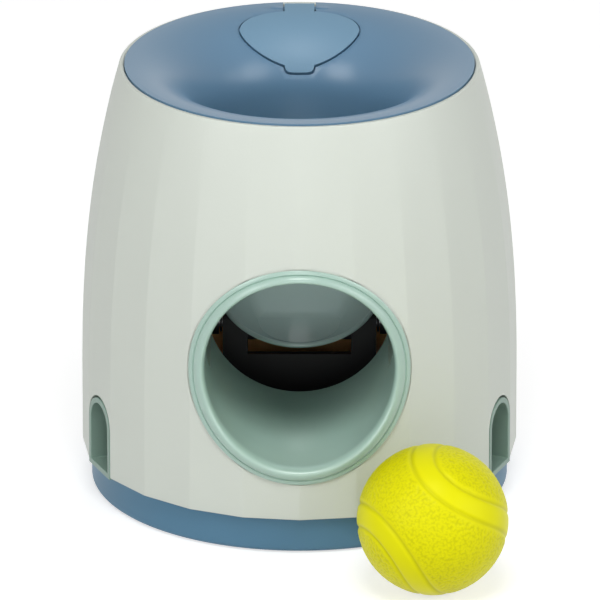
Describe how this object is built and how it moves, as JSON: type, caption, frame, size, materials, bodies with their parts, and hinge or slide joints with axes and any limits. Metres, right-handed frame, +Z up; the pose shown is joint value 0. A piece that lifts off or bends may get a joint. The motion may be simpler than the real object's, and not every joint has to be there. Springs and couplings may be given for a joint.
{
  "type": "dog puzzle toy",
  "caption": "Tapered faceted drum with a funnel top: a ball dropped in tips a bowl, opens the treat gates and rolls out of the round front mouth.",
  "frame": {"origin": "on the floor under the casing's axis, at the middle foot", "axes": "+Z up along the casing's axis; the ball mouth faces -Y; +X to the right seen from the front"},
  "size_m": [0.175, 0.238, 0.178],
  "materials": {
    "casing": "satin, pale grey-green",
    "funnel": "satin, grey blue",
    "lid": "satin, grey blue",
    "base": "satin, grey blue",
    "chute": "semi-gloss, mint",
    "bowl": "semi-gloss, mint",
    "mechanism": "satin, mint",
    "dark_plastic": "matt, near black",
    "hopper": "matt, dark brown",
    "steel": "plain steel",
    "black_rubber": "matt, black",
    "ball": "matt, pebbled, lemon yellow"
  },
  "bodies": {
    "housing": {"body_shell": "casing", "funnel_top": "funnel", "lid_hinge_pin": "lid", "base_pan": "base", "rubber_feet": "black_rubber", "base_screws": "steel", "ball_chute": "chute", "chute_screws": "steel", "chassis": "dark_plastic", "chassis_screws": "steel", "bearing_caps": "dark_plastic", "bearing_cap_screws": "steel", "stop_bumper": "black_rubber", "treat_hopper": "hopper", "hopper_screws": "steel", "left_slide": "mechanism", "right_slide": "mechanism", "left_outlet": "chute", "right_outlet": "chute"},
    "tipper": {"tipping_bowl": "bowl", "bowl_axle": "steel", "axle_clips": "dark_plastic", "counterweight": "steel", "left_gate": "dark_plastic", "right_gate": "dark_plastic"},
    "lid": {"filler_lid": "lid"},
    "ball": {"ball": "ball"}
  },
  "joints": [
    {"name": "bowl_tip", "type": "hinge", "parent": "housing", "child": "tipper", "pos_m": [0, 0.032, 0.0535], "axis": [1, 0, 0], "range_deg": [0, 32]},
    {"name": "lid_hinge", "type": "hinge", "parent": "housing", "child": "lid", "pos_m": [0, 0.0666, 0.1756], "axis": [-1, 0, 0], "range_deg": [0, 100]},
    {"name": "ball_lift", "type": "slide", "parent": "housing", "child": "ball", "axis": [0, 0, 1], "range_m": [0, 0.25]}
  ]
}
